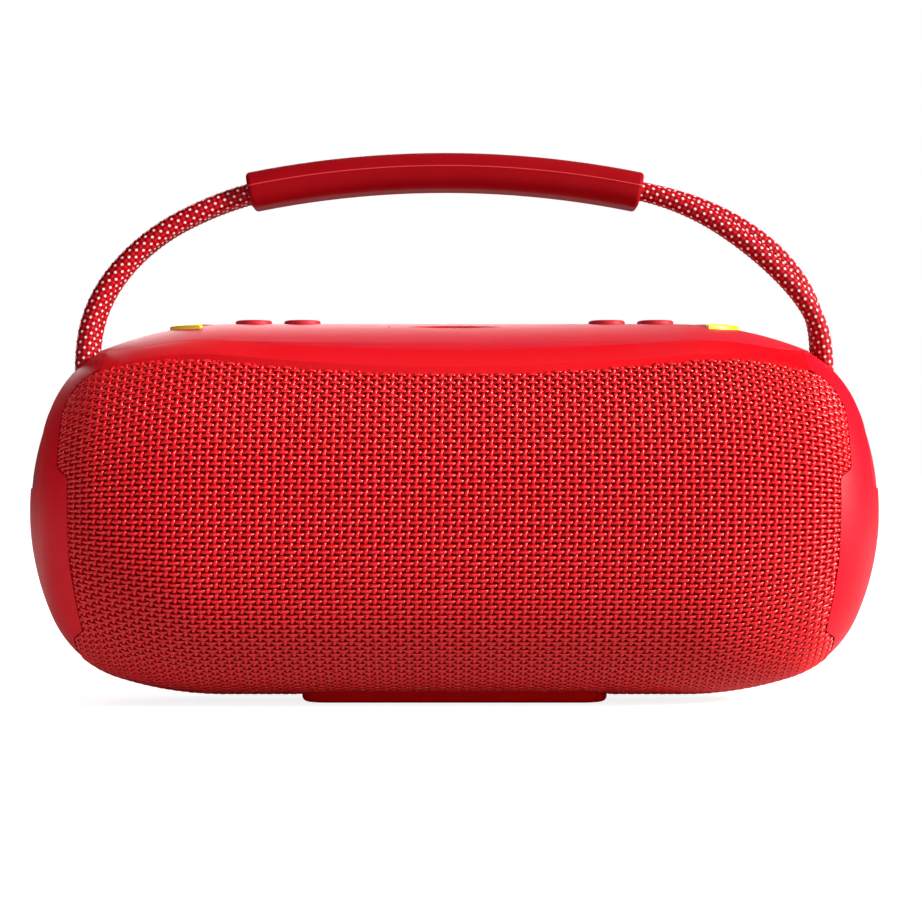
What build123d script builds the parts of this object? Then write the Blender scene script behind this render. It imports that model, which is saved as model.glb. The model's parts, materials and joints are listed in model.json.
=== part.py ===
from build123d import *
from math import asin, atan2, cos, degrees, pi, radians, sin, sqrt, tan
import os

os.makedirs("parts", exist_ok=True)

# A barrel-shaped portable speaker that lies on its side on a long rubber foot, with a rope handle.
# The origin is the middle of the foot's underside, +Z is up, +X runs along the barrel and the
# front faces -Y. All lengths are in millimetres and all angles in degrees.

# ---------------------------------------------------------------- driving dimensions
BODY_LENGTH = 300.0
BODY_RADIUS = 65.0
FOOT_DROP = 2.6
FABRIC_THICKNESS = 0.8
SHELL_WALL = 2.5
CAP_WALL = 5.0
SEAM_X = 122.0
ROPE_DIAMETER = 7.0
BUTTON_DIAMETER = 13.0
BUTTON_XS = (-71.5, -54.2, 54.2, 71.5)
FLUSH_BUTTON_X = 88.7
FLUSH_BUTTON_DIAMETER = 12.0
WOOFER_X = 62.0

SIDES = (("left", -1), ("right", 1))

# The barrel's outline: a straight middle, a shoulder arc, a corner arc and an end arc, all tangent.
FLAT_HALF = 81.0
SHOULDER_RADIUS = 126.0
SHOULDER_TURN = 17.4
END_RADIUS = 93.0

BODY_HALF = BODY_LENGTH / 2
AXIS_Z = BODY_RADIUS + FOOT_DROP
SHOULDER_END = Vector(
    FLAT_HALF + SHOULDER_RADIUS * sin(radians(SHOULDER_TURN)),
    BODY_RADIUS - SHOULDER_RADIUS + SHOULDER_RADIUS * cos(radians(SHOULDER_TURN)),
)
END_CENTRE = Vector(BODY_HALF - END_RADIUS, 0)
SHOULDER_NORMAL = Vector(sin(radians(SHOULDER_TURN)), cos(radians(SHOULDER_TURN)))
END_TO_SHOULDER = SHOULDER_END - END_CENTRE
CORNER_RADIUS = (END_TO_SHOULDER.length**2 - END_RADIUS**2) / (
    2 * (END_TO_SHOULDER.dot(SHOULDER_NORMAL) - END_RADIUS)
)
CORNER_CENTRE = SHOULDER_END - SHOULDER_NORMAL * CORNER_RADIUS
END_TURN = degrees(atan2(CORNER_CENTRE.Y, CORNER_CENTRE.X - END_CENTRE.X))

# Depths of the layers below the barrel's surface.
FABRIC_TOP = 0.2
SHELL_TOP = FABRIC_TOP + FABRIC_THICKNESS
SHELL_BACK = SHELL_TOP + SHELL_WALL
INNER_PART_DEPTH = SHELL_BACK + 0.2
COLLAR_WALL = 2.0
COLLAR_START_X = 110.0
COLLAR_END_X = 136.0
JOINT_GAP = 0.15
LEDGE_GAP = 0.2
SEAM_OVERRUN = 1.0

# The top frame and the control panel stand a little proud of the barrel and meet it at the seams.
SADDLE_RADIUS = 66.2
SADDLE_FLAT_HALF = 77.3
SADDLE_END_X = 130.0
FRAME_MID_DEPTH = 44.0
FRAME_END_DEPTH = 31.2
BAND_LEDGE = 3.2
PANEL_THICKNESS = 2.0
FLOOR_THICKNESS = 2.5
PANEL_MID_DEPTH = 35.7
PANEL_CORNER = (106.3, 25.3)
PANEL_TIP_X = 126.0
CREASE_DEPTH = 32.3
CREASE_END = (78.0, 30.2)
CREASE_STEP = 0.6

# Buttons, light window and accents on the panel.
BUTTON_RISE = 1.3
BUTTON_TRAVEL = 0.6
BUTTON_GAP = 0.3
FLANGE_WIDTH = 1.2
FLANGE_TOP = 2.8
FLUSH_FLANGE_TOP = 3.7
FLANGE_HEIGHT = 1.0
FLUSH_RISE = 0.15
BUTTON_EDGE = 0.9
FLUSH_EDGE = 0.3
WINDOW_HALF_LENGTH = 16.5
WINDOW_HALF_WIDTH = 2.2
WINDOW_Y = -15.0
WINDOW_DEPTH = 0.5
WINDOW_END_GAP = 1.0
WINDOW_SIDE_GAP = 0.1
MIC_HOLE = (-23.0, -15.0)
MIC_HOLE_DIAMETER = 1.2
ACCENT_CENTRE_X = 85.6
ACCENT_RADIUS = 14.4
ACCENT_WIDTH = 2.6
ACCENT_RISE = 1.4
ACCENT_HALF_ANGLE = 77.0
ACCENT_EDGE = 0.8
BOARD_TOP = 57.0
BOARD_THICKNESS = 1.6
BOARD_SIZE = (190.0, 38.0)
BOARD_SCREWS = (160.0, 28.0)
BOARD_CORNER = 3.0
BOSS_RADIUS = 3.2
BOSS_HEIGHT = 4.5
BOSS_HOLE_DEPTH = 3.5
SCREW_END_GAP = 0.5
WELL_HEIGHT = 12.0
SWITCH_SIDE = 6.0
PLUNGER_RADIUS = 1.7
PLUNGER_HEIGHT = 0.8
PLUNGER_GAP = 0.2

# Rope anchors in the end caps, and the grip.
ANCHOR_X = 130.4
ANCHOR_Y = 8.0
ROPE_HOLE_DIAMETER = 8.6
ROPE_FOOT_Z = 101.7
CLAMP_BOTTOM_Z = 96.7
CLAMP_TOP_Z = 104.7
CLAMP_SIZE = (10.0, 28.0)
CLAMP_CENTRE_X = 129.0
CLAMP_HOLE_DIAMETER = 7.4
CLAMP_CORNER = 1.5
CLAMP_FLOOR_GAP = 0.2
GRIP_MID_X = -3.4
GRIP_MID_Z = 187.7
GRIP_ARC_RADIUS = 346.0
GRIP_LENGTH = 139.7
GRIP_SECTION = (24.0, 12.8)
GRIP_CORNER = 5.6
GRIP_END_FILLET = 1.4
GRIP_CHANNEL_DIAMETER = 7.2

# End inlay: a half-moon plate let into each end cap, above its middle.
INLAY_HALF_WIDTH = 31.0
INLAY_BOTTOM = 8.0
INLAY_SHOULDER = 12.0
INLAY_TOP = 37.0
INLAY_CORNER = 3.5
INLAY_RECESS = 0.4
INLAY_THICKNESS = 1.0

# Foot.
FOOT_LENGTH = 108.0
FOOT_WIDTH = 26.0
FOOT_CORNER = 9.0
FOOT_EDGE = 2.0

# Rear port recess with its hinged cover, below the middle of the back.
PORT_HALF_LENGTH = 32.0
PORT_LOW = -36.0
PORT_HIGH = -12.0
PORT_BACK_Y = 46.0
PORT_FACE_DEPTH = 2.4
COVER_DEPTH = 1.6
COVER_GAP = 0.4
COVER_CORNER = 2.0
SOCKET_BACK = 2.0
SOCKET_LENGTH = 9.0
SOCKET_GAP = 0.15
PORT_BOARD_THICKNESS = 1.4

# Baffles and drivers. Driver depths count backwards from the front baffle's front face.
BAFFLE_HALF_LENGTH = 108.0
BAFFLE_Y = 40.0
BAFFLE_THICKNESS = 4.0
WOOFER_HOLE_RADIUS = 31.4
WOOFER_SCREW_RADIUS = 37.0
TWEETER_HOLE_RADIUS = 12.0
TWEETER_SCREW_RADIUS = 14.0
SCREW_RADIUS = 1.5
SCREW_HOLE_RADIUS = 1.6
SCREW_LENGTH = 8.0
SCREW_HEAD_RADIUS = 2.5
SCREW_HEAD_HEIGHT = 1.5
FLANGE_THICKNESS = 2.0
RADIATOR_HOLE = (132.0, 50.0)
RADIATOR_PLATE = (106.0, 26.0)
RADIATOR_PLATE_FACE = 1.8
RADIATOR_PLATE_THICKNESS = 2.0
SURROUND_LAP = 6.0
SURROUND_WALL = 1.0

AXIS_PLANE = Plane.XY.offset(AXIS_Z)
SIDE_PLANE = Plane(origin=(0, 0, AXIS_Z), x_dir=(1, 0, 0), z_dir=(0, -1, 0))
END_PLANE = Plane(origin=(0, 0, AXIS_Z), x_dir=(0, 1, 0), z_dir=(1, 0, 0))
BODY_AXIS = Axis((0, 0, AXIS_Z), (1, 0, 0))
REACH = 90.0


# ---------------------------------------------------------------- shared shapes
def barrel(depth):
    """The whole barrel as a solid of revolution, `depth` below its outer surface."""
    with BuildPart() as solid:
        with BuildSketch(AXIS_PLANE):
            with BuildLine():
                Line((0, 0), (0, BODY_RADIUS - depth))
                Line((0, BODY_RADIUS - depth), (FLAT_HALF, BODY_RADIUS - depth))
                CenterArc(
                    (FLAT_HALF, BODY_RADIUS - SHOULDER_RADIUS), SHOULDER_RADIUS - depth, 90, -SHOULDER_TURN
                )
                CenterArc(
                    CORNER_CENTRE, CORNER_RADIUS - depth, 90 - SHOULDER_TURN, END_TURN + SHOULDER_TURN - 90
                )
                CenterArc(END_CENTRE, END_RADIUS - depth, END_TURN, -END_TURN)
                Line((BODY_HALF - depth, 0), (0, 0))
            make_face()
            mirror(about=Plane.YZ)
        revolve(axis=BODY_AXIS)
    return solid.part


def saddle_height(x, depth=0.0):
    """Height of the top frame's surface above the barrel's axis at x, on the centre line."""
    run = max(0.0, abs(x) - SADDLE_FLAT_HALF)
    arc_radius = SHOULDER_RADIUS - depth
    return SADDLE_RADIUS - SHOULDER_RADIUS + sqrt(arc_radius**2 - run**2)


def saddle(depth):
    """Solid of revolution under the top frame's surface, `depth` below it."""
    turn = asin((SADDLE_END_X - SADDLE_FLAT_HALF) / (SHOULDER_RADIUS - depth))
    with BuildPart() as solid:
        with BuildSketch(AXIS_PLANE):
            with BuildLine():
                Line((0, 0), (0, SADDLE_RADIUS - depth))
                Line((0, SADDLE_RADIUS - depth), (SADDLE_FLAT_HALF, SADDLE_RADIUS - depth))
                CenterArc(
                    (SADDLE_FLAT_HALF, SADDLE_RADIUS - SHOULDER_RADIUS),
                    SHOULDER_RADIUS - depth,
                    90,
                    -degrees(turn),
                )
                Line((SADDLE_END_X, saddle_height(SADDLE_END_X, depth)), (SADDLE_END_X, 0))
                Line((SADDLE_END_X, 0), (0, 0))
            make_face()
            mirror(about=Plane.YZ)
        revolve(axis=BODY_AXIS)
    return solid.part


def frame_column(margin, half_length):
    """Upright column over the top frame's plan outline, `margin` inside it."""
    mid = FRAME_MID_DEPTH - margin
    end = FRAME_END_DEPTH - margin
    with BuildPart() as column:
        with BuildSketch(AXIS_PLANE):
            with BuildLine():
                ThreePointArc((-half_length, -end), (0, -mid), (half_length, -end))
                Line((half_length, -end), (half_length, end))
                ThreePointArc((half_length, end), (0, mid), (-half_length, end))
                Line((-half_length, end), (-half_length, -end))
            make_face()
        extrude(amount=REACH)
    return column.part


def panel_column(margin):
    """Upright column over the control panel's boat-shaped outline, `margin` inside it."""
    corner_x = PANEL_CORNER[0] - margin
    corner_y = PANEL_CORNER[1] - margin
    mid = PANEL_MID_DEPTH - margin
    tip = PANEL_TIP_X - margin
    with BuildPart() as column:
        with BuildSketch(AXIS_PLANE):
            with BuildLine():
                ThreePointArc((-corner_x, -corner_y), (0, -mid), (corner_x, -corner_y))
                ThreePointArc((corner_x, -corner_y), (tip, 0), (corner_x, corner_y))
                ThreePointArc((corner_x, corner_y), (0, mid), (-corner_x, corner_y))
                ThreePointArc((-corner_x, corner_y), (-tip, 0), (-corner_x, -corner_y))
            make_face()
        extrude(amount=REACH)
    return column.part


def cap_region(sign, gap):
    """Everything beyond the edge of an end cap, seen from the front, grown by `gap` towards the middle."""
    seam = SEAM_X - gap
    outside = BODY_HALF + 10
    with BuildPart() as region:
        with BuildSketch(SIDE_PLANE):
            with BuildLine():
                Line((seam, REACH), (seam, 49.0 - gap))
                ThreePointArc((seam, 49.0 - gap), (129.9 - gap, 43.2 - gap), (134.3 - gap, 31.0))
                FilletPolyline(
                    (134.3 - gap, 31.0),
                    (134.3 - gap, 15.0 + gap),
                    (130.0 - gap, 12.0 + gap),
                    (129.6 - gap, -15.0),
                    (127.0 - gap, -40.5 - gap),
                    (131.4 - gap, -43.5 - gap),
                    (131.6 - gap, -REACH),
                    radius=(2.2, 2.2, 30.0, 1.6, 1.6),
                )
                Line((131.6 - gap, -REACH), (outside, -REACH))
                Line((outside, -REACH), (outside, REACH))
                Line((outside, REACH), (seam, REACH))
            make_face()
            if sign < 0:
                mirror(about=Plane.YZ, mode=Mode.REPLACE)
        extrude(amount=REACH, both=True)
    return region.part


def inlay_column(sign, margin):
    """Column along X over the half-moon outline of an end inlay."""
    half = INLAY_HALF_WIDTH - margin
    with BuildPart() as column:
        with BuildSketch(END_PLANE.offset(sign * SEAM_X)) as outline:
            with BuildLine():
                Line((-half, INLAY_BOTTOM + margin), (half, INLAY_BOTTOM + margin))
                Line((half, INLAY_BOTTOM + margin), (half, INLAY_SHOULDER))
                ThreePointArc((half, INLAY_SHOULDER), (0, INLAY_TOP - margin), (-half, INLAY_SHOULDER))
                Line((-half, INLAY_SHOULDER), (-half, INLAY_BOTTOM + margin))
            make_face()
            fillet(outline.vertices().group_by(Axis.Y)[0], radius=INLAY_CORNER - margin)
        extrude(amount=sign * REACH)
    return column.part


def rope_route(points):
    """Path of straight runs joined by arcs as large as each corner's runs allow."""
    corners = [Vector(*point) for point in points]
    radii = []
    for before, at, after in zip(corners, corners[1:], corners[2:]):
        half_turn = radians((at - before).get_angle(after - at)) / 2
        radii.append(0.45 * min((at - before).length, (after - at).length) / tan(half_turn))
    with BuildLine() as route:
        FilletPolyline(*corners, radius=radii)
    return route.wires()[0], radii


def rope_tube(points, diameter):
    """Round tube along a rope's route."""
    path, _ = rope_route(points)
    with BuildPart() as tube:
        with BuildSketch(Plane(origin=path @ 0, z_dir=path % 0)):
            Circle(diameter / 2)
        sweep(path=path)
    return tube.part


BARREL = barrel(0)
FABRIC_OUTSIDE = barrel(FABRIC_TOP)
SHELL_OUTSIDE = barrel(SHELL_TOP)
SHELL_INSIDE = barrel(SHELL_BACK)
COLLAR_OUTSIDE = barrel(INNER_PART_DEPTH)
COLLAR_INSIDE = barrel(INNER_PART_DEPTH + COLLAR_WALL)
CAP_INSIDE = barrel(CAP_WALL)
INLAY_OUTSIDE = barrel(INLAY_RECESS)
INLAY_BACK = barrel(INLAY_RECESS + INLAY_THICKNESS)
SADDLE = saddle(0)
SADDLE_RAISED = saddle(-ACCENT_RISE)
SADDLE_WINDOW = saddle(WINDOW_DEPTH)
SADDLE_CREASE = saddle(CREASE_STEP)
SADDLE_PANEL_BACK = saddle(PANEL_THICKNESS)
SADDLE_FLOOR_BACK = saddle(PANEL_THICKNESS + FLOOR_THICKNESS)
FRAME_COLUMN = frame_column(0, SEAM_X - JOINT_GAP)
FABRIC_OPENING = frame_column(-JOINT_GAP, SEAM_X + SEAM_OVERRUN)
FLOOR_COLUMN = frame_column(BAND_LEDGE, SEAM_X - JOINT_GAP)
SHELL_OPENING = frame_column(BAND_LEDGE - LEDGE_GAP, SEAM_X + SEAM_OVERRUN)
PANEL_COLUMN = panel_column(0)
PANEL_OPENING = panel_column(-JOINT_GAP)

# ---------------------------------------------------------------- shells and fabric
SLOT_GRID = (15.0, 21.0)
SLOT_COUNT = (13, 4)
SLOT_SIZE = (16.0, 7.0)


def half_shell(keep):
    """Half of the tubular shell, with rows of sound slots behind the fabric."""
    with BuildPart() as shell:
        add(SHELL_OUTSIDE)
        add(SHELL_INSIDE, mode=Mode.SUBTRACT)
        add(cap_region(-1, JOINT_GAP), mode=Mode.SUBTRACT)
        add(cap_region(1, JOINT_GAP), mode=Mode.SUBTRACT)
        add(SHELL_OPENING, mode=Mode.SUBTRACT)
        split(bisect_by=Plane.XZ, keep=keep)
    return shell.part


with BuildPart() as front_shell:
    add(half_shell(Keep.TOP))
    with BuildSketch(SIDE_PLANE):
        with GridLocations(*SLOT_GRID, *SLOT_COUNT):
            SlotOverall(*SLOT_SIZE, rotation=90)
    extrude(amount=REACH, mode=Mode.SUBTRACT)

front_shell.part.label = "front_shell"
export_step(front_shell.part, "parts/front_shell.step")

with BuildPart() as rear_shell:
    add(half_shell(Keep.BOTTOM))
    with BuildSketch(SIDE_PLANE):
        with Locations((0, SLOT_GRID[1])):
            with GridLocations(*SLOT_GRID, SLOT_COUNT[0], 2):
                SlotOverall(*SLOT_SIZE, rotation=90)
        with Locations((0, (PORT_LOW + PORT_HIGH) / 2)):
            Rectangle(2 * (PORT_HALF_LENGTH + JOINT_GAP), PORT_HIGH - PORT_LOW + 2 * JOINT_GAP)
    extrude(amount=-REACH, mode=Mode.SUBTRACT)

rear_shell.part.label = "rear_shell"
export_step(rear_shell.part, "parts/rear_shell.step")

with BuildPart() as fabric_wrap:
    add(FABRIC_OUTSIDE)
    add(SHELL_OUTSIDE, mode=Mode.SUBTRACT)
    add(cap_region(-1, JOINT_GAP), mode=Mode.SUBTRACT)
    add(cap_region(1, JOINT_GAP), mode=Mode.SUBTRACT)
    add(FABRIC_OPENING, mode=Mode.SUBTRACT)
    with BuildSketch(SIDE_PLANE):
        with Locations((0, (PORT_LOW + PORT_HIGH) / 2)):
            Rectangle(2 * (PORT_HALF_LENGTH + JOINT_GAP), PORT_HIGH - PORT_LOW + 2 * JOINT_GAP)
    extrude(amount=-REACH, mode=Mode.SUBTRACT)
    with BuildSketch():
        RectangleRounded(FOOT_LENGTH + 2 * JOINT_GAP, FOOT_WIDTH + 2 * JOINT_GAP, FOOT_CORNER + JOINT_GAP)
    extrude(amount=AXIS_Z / 2, mode=Mode.SUBTRACT)

fabric_wrap.part.label = "fabric_wrap"
export_step(fabric_wrap.part, "parts/fabric_wrap.step")

with BuildPart() as foot:
    with BuildSketch():
        RectangleRounded(FOOT_LENGTH, FOOT_WIDTH, FOOT_CORNER)
    extrude(amount=AXIS_Z / 2)
    fillet(foot.faces().sort_by(Axis.Z)[0].edges(), radius=FOOT_EDGE)
    add(SHELL_OUTSIDE, mode=Mode.SUBTRACT)

foot.part.label = "foot"
export_step(foot.part, "parts/foot.step")

# ---------------------------------------------------------------- top frame and control panel
def window_outline(end_gap, side_gap):
    """Lens-shaped face of the indicator window, smaller by the gaps at its ends and sides."""
    tip = WINDOW_HALF_LENGTH - end_gap
    half = WINDOW_HALF_WIDTH - side_gap
    with BuildSketch() as lens:
        with BuildLine():
            ThreePointArc((-tip, WINDOW_Y), (0, WINDOW_Y - half), (tip, WINDOW_Y))
            ThreePointArc((tip, WINDOW_Y), (0, WINDOW_Y + half), (-tip, WINDOW_Y))
        make_face()
    return lens.sketch


with BuildPart() as band_undercut:
    add(SHELL_OUTSIDE)
    add(FLOOR_COLUMN, mode=Mode.SUBTRACT)

with BuildPart() as panel_pocket:
    add(PANEL_OPENING)
    add(SADDLE_PANEL_BACK, mode=Mode.SUBTRACT)

with BuildPart() as top_frame:
    add(SADDLE)
    add(SADDLE_FLOOR_BACK, mode=Mode.SUBTRACT)
    add(FRAME_COLUMN, mode=Mode.INTERSECT)
    add(band_undercut.part, mode=Mode.SUBTRACT)
    add(panel_pocket.part, mode=Mode.SUBTRACT)
    # Bosses for the button board, each with a blind hole for its screw.
    with BuildSketch(AXIS_PLANE.offset(BOARD_TOP)):
        with GridLocations(*BOARD_SCREWS, 2, 2):
            Circle(BOSS_RADIUS)
    extrude(amount=BOSS_HEIGHT)
    with BuildSketch(AXIS_PLANE.offset(BOARD_TOP)):
        with GridLocations(*BOARD_SCREWS, 2, 2):
            Circle(SCREW_HOLE_RADIUS)
    extrude(amount=BOSS_HOLE_DEPTH, mode=Mode.SUBTRACT)
    # Wells for the button flanges.
    with BuildSketch(AXIS_PLANE.offset(BOARD_TOP)):
        with Locations(*[(x, 0) for x in BUTTON_XS]):
            Circle(BUTTON_DIAMETER / 2 + FLANGE_WIDTH + BUTTON_GAP)
        with Locations((-FLUSH_BUTTON_X, 0), (FLUSH_BUTTON_X, 0)):
            Circle(FLUSH_BUTTON_DIAMETER / 2 + FLANGE_WIDTH + BUTTON_GAP)
    extrude(amount=WELL_HEIGHT, mode=Mode.SUBTRACT)

top_frame.part.label = "top_frame"
export_step(top_frame.part, "parts/top_frame.step")

with BuildPart() as control_panel:
    add(PANEL_COLUMN)
    add(SADDLE, mode=Mode.INTERSECT)
    add(SADDLE_PANEL_BACK, mode=Mode.SUBTRACT)
    with BuildSketch(AXIS_PLANE):
        with Locations(*[(x, 0) for x in BUTTON_XS]):
            Circle(BUTTON_DIAMETER / 2 + BUTTON_GAP)
        with Locations((-FLUSH_BUTTON_X, 0), (FLUSH_BUTTON_X, 0)):
            Circle(FLUSH_BUTTON_DIAMETER / 2 + BUTTON_GAP)
        with Locations(MIC_HOLE):
            Circle(MIC_HOLE_DIAMETER / 2)
        add(window_outline(0, 0))
    extrude(amount=REACH, mode=Mode.SUBTRACT)

# The panel's long edges step down along a crease that fades out towards the ends.
with BuildPart() as crease_step:
    with BuildSketch(AXIS_PLANE):
        with BuildLine():
            ThreePointArc(
                (-CREASE_END[0], -CREASE_END[1]), (0, -CREASE_DEPTH), (CREASE_END[0], -CREASE_END[1])
            )
            Line((CREASE_END[0], -CREASE_END[1]), (CREASE_END[0], -FRAME_MID_DEPTH))
            Line((CREASE_END[0], -FRAME_MID_DEPTH), (-CREASE_END[0], -FRAME_MID_DEPTH))
            Line((-CREASE_END[0], -FRAME_MID_DEPTH), (-CREASE_END[0], -CREASE_END[1]))
        make_face()
        mirror(about=Plane.XZ)
    extrude(amount=REACH)
    add(SADDLE_CREASE, mode=Mode.SUBTRACT)

with BuildPart() as stepped_panel:
    add(control_panel.part)
    add(crease_step.part, mode=Mode.SUBTRACT)

stepped_panel.part.label = "control_panel"
export_step(stepped_panel.part, "parts/control_panel.step")

with BuildPart() as indicator_window:
    with BuildSketch(AXIS_PLANE):
        add(window_outline(WINDOW_END_GAP, WINDOW_SIDE_GAP))
    extrude(amount=REACH)
    add(SADDLE_WINDOW, mode=Mode.INTERSECT)
    add(SADDLE_PANEL_BACK, mode=Mode.SUBTRACT)

indicator_window.part.label = "indicator_window"
export_step(indicator_window.part, "parts/indicator_window.step")

# ---------------------------------------------------------------- buttons, accents and button board
RAISED_KEY = (BUTTON_DIAMETER, BUTTON_RISE, BUTTON_EDGE, FLANGE_TOP)
FLUSH_KEY = (FLUSH_BUTTON_DIAMETER, FLUSH_RISE, FLUSH_EDGE, FLUSH_FLANGE_TOP)
BUTTONS = (
    ("button_power", BUTTON_XS[0], RAISED_KEY),
    ("button_pairing", BUTTON_XS[1], RAISED_KEY),
    ("button_volume_down", BUTTON_XS[2], RAISED_KEY),
    ("button_volume_up", BUTTON_XS[3], RAISED_KEY),
    ("button_link", -FLUSH_BUTTON_X, FLUSH_KEY),
    ("button_play", FLUSH_BUTTON_X, FLUSH_KEY),
)

for name, x, (diameter, rise, edge, flange_top) in BUTTONS:
    surface = saddle_height(x)
    with BuildPart() as button:
        with BuildSketch(AXIS_PLANE.offset(surface - flange_top - FLANGE_HEIGHT)):
            with Locations((x, 0)):
                Circle(diameter / 2 + FLANGE_WIDTH)
        extrude(amount=FLANGE_HEIGHT)
        with BuildSketch(AXIS_PLANE.offset(surface - flange_top)):
            with Locations((x, 0)):
                Circle(diameter / 2)
        extrude(amount=flange_top + rise)
        fillet(button.faces().sort_by(Axis.Z)[-1].edges(), radius=edge)
    button.part.label = name
    export_step(button.part, f"parts/{name}.step")

for side, sign in SIDES:
    with BuildPart() as accent:
        with BuildSketch(AXIS_PLANE):
            with BuildLine():
                CenterArc(
                    (sign * ACCENT_CENTRE_X, 0),
                    ACCENT_RADIUS,
                    -ACCENT_HALF_ANGLE if sign > 0 else 180 - ACCENT_HALF_ANGLE,
                    2 * ACCENT_HALF_ANGLE,
                )
            trace(line_width=ACCENT_WIDTH)
        extrude(amount=REACH)
        add(SADDLE_RAISED, mode=Mode.INTERSECT)
        fillet(accent.faces().sort_by(Axis.Z)[-1].edges(), radius=ACCENT_EDGE)
        add(SADDLE, mode=Mode.SUBTRACT)
    accent.part.label = f"accent_{side}"
    export_step(accent.part, f"parts/accent_{side}.step")

with BuildPart() as button_board:
    with BuildSketch(AXIS_PLANE.offset(BOARD_TOP - BOARD_THICKNESS)):
        RectangleRounded(*BOARD_SIZE, BOARD_CORNER)
        with GridLocations(*BOARD_SCREWS, 2, 2):
            Circle(SCREW_HOLE_RADIUS, mode=Mode.SUBTRACT)
    extrude(amount=BOARD_THICKNESS)

button_board.part.label = "button_board"
export_step(button_board.part, "parts/button_board.step")

with BuildPart() as button_switches:
    for _, x, (_, _, _, flange_top) in BUTTONS:
        plunger_top = saddle_height(x) - flange_top - FLANGE_HEIGHT - BUTTON_TRAVEL - PLUNGER_GAP
        with BuildSketch(AXIS_PLANE.offset(BOARD_TOP)):
            with Locations((x, 0)):
                Rectangle(SWITCH_SIDE, SWITCH_SIDE)
        extrude(amount=plunger_top - PLUNGER_HEIGHT - BOARD_TOP)
        with BuildSketch(AXIS_PLANE.offset(plunger_top - PLUNGER_HEIGHT)):
            with Locations((x, 0)):
                Circle(PLUNGER_RADIUS)
        extrude(amount=PLUNGER_HEIGHT)

button_switches.part.label = "button_switches"
export_step(button_switches.part, "parts/button_switches.step")

with BuildPart() as button_board_screws:
    with BuildSketch(AXIS_PLANE.offset(BOARD_TOP - BOARD_THICKNESS)):
        with GridLocations(*BOARD_SCREWS, 2, 2):
            Circle(SCREW_HEAD_RADIUS)
    extrude(amount=-SCREW_HEAD_HEIGHT)
    with BuildSketch(AXIS_PLANE.offset(BOARD_TOP - BOARD_THICKNESS)):
        with GridLocations(*BOARD_SCREWS, 2, 2):
            Circle(SCREW_RADIUS)
    extrude(amount=BOARD_THICKNESS + BOSS_HOLE_DEPTH - SCREW_END_GAP)

button_board_screws.part.label = "button_board_screws"
export_step(button_board_screws.part, "parts/button_board_screws.step")

# ---------------------------------------------------------------- end caps, inlays and rope clamps
for side, sign in SIDES:
    with BuildPart() as collar:
        with BuildSketch(END_PLANE.offset(sign * COLLAR_START_X)):
            Rectangle(2 * REACH, 2 * REACH)
        extrude(amount=sign * (COLLAR_END_X - COLLAR_START_X))
        add(COLLAR_OUTSIDE, mode=Mode.INTERSECT)
        add(COLLAR_INSIDE, mode=Mode.SUBTRACT)
        add(SHELL_OPENING, mode=Mode.SUBTRACT)
    with BuildPart() as inlay_recess:
        add(inlay_column(sign, 0))
        add(INLAY_BACK, mode=Mode.SUBTRACT)
    with BuildPart() as end_cap:
        add(BARREL)
        add(CAP_INSIDE, mode=Mode.SUBTRACT)
        add(cap_region(sign, 0), mode=Mode.INTERSECT)
        add(collar.part)
        add(panel_pocket.part, mode=Mode.SUBTRACT)
        add(inlay_recess.part, mode=Mode.SUBTRACT)
        with BuildSketch(Plane.XY.offset(CLAMP_BOTTOM_Z)):
            with Locations((sign * ANCHOR_X, -ANCHOR_Y), (sign * ANCHOR_X, ANCHOR_Y)):
                Circle(ROPE_HOLE_DIAMETER / 2)
        extrude(amount=REACH, mode=Mode.SUBTRACT)
    end_cap.part.label = f"end_cap_{side}"
    export_step(end_cap.part, f"parts/end_cap_{side}.step")

    with BuildPart() as end_inlay:
        add(inlay_column(sign, JOINT_GAP))
        add(INLAY_OUTSIDE, mode=Mode.INTERSECT)
        add(INLAY_BACK, mode=Mode.SUBTRACT)
    end_inlay.part.label = f"end_inlay_{side}"
    export_step(end_inlay.part, f"parts/end_inlay_{side}.step")

    with BuildPart() as rope_clamp:
        with BuildSketch(Plane.XY.offset(CLAMP_BOTTOM_Z)):
            with Locations((sign * CLAMP_CENTRE_X, 0)):
                Rectangle(*CLAMP_SIZE)
        extrude(amount=CLAMP_TOP_Z - CLAMP_BOTTOM_Z)
        fillet(rope_clamp.edges().filter_by(Axis.Z), radius=CLAMP_CORNER)
        with BuildSketch(Plane.XY.offset(ROPE_FOOT_Z - CLAMP_FLOOR_GAP)):
            with Locations((sign * ANCHOR_X, -ANCHOR_Y), (sign * ANCHOR_X, ANCHOR_Y)):
                Circle(CLAMP_HOLE_DIAMETER / 2)
        extrude(amount=CLAMP_TOP_Z - CLAMP_BOTTOM_Z, mode=Mode.SUBTRACT)
    rope_clamp.part.label = f"rope_clamp_{side}"
    export_step(rope_clamp.part, f"parts/rope_clamp_{side}.step")

# ---------------------------------------------------------------- rope handle and grip
FRONT_ROPE = (
    (-130.4, -8.0, 101.7),
    (-130.7, -8.1, 111.7),
    (-130.6, -8.4, 122.7),
    (-128.9, -8.6, 134.2),
    (-123.9, -8.3, 145.7),
    (-115.4, -7.6, 156.6),
    (-104.2, -6.8, 166.1),
    (-91.0, -5.8, 173.4),
    (-76.0, -4.8, 179.4),
    (-57.5, -4.1, 183.8),
    (-36.0, -3.9, 186.5),
    (-12.0, -3.9, 187.8),
    (12.0, -3.9, 187.6),
    (34.0, -3.9, 185.9),
    (52.0, -4.1, 183.4),
    (70.5, -4.8, 180.0),
    (87.0, -5.8, 173.4),
    (101.6, -6.8, 163.8),
    (114.2, -7.6, 153.0),
    (123.6, -8.3, 142.4),
    (128.9, -8.6, 132.4),
    (130.4, -8.4, 122.2),
    (130.7, -8.1, 111.7),
    (130.4, -8.0, 101.7),
)
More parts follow.
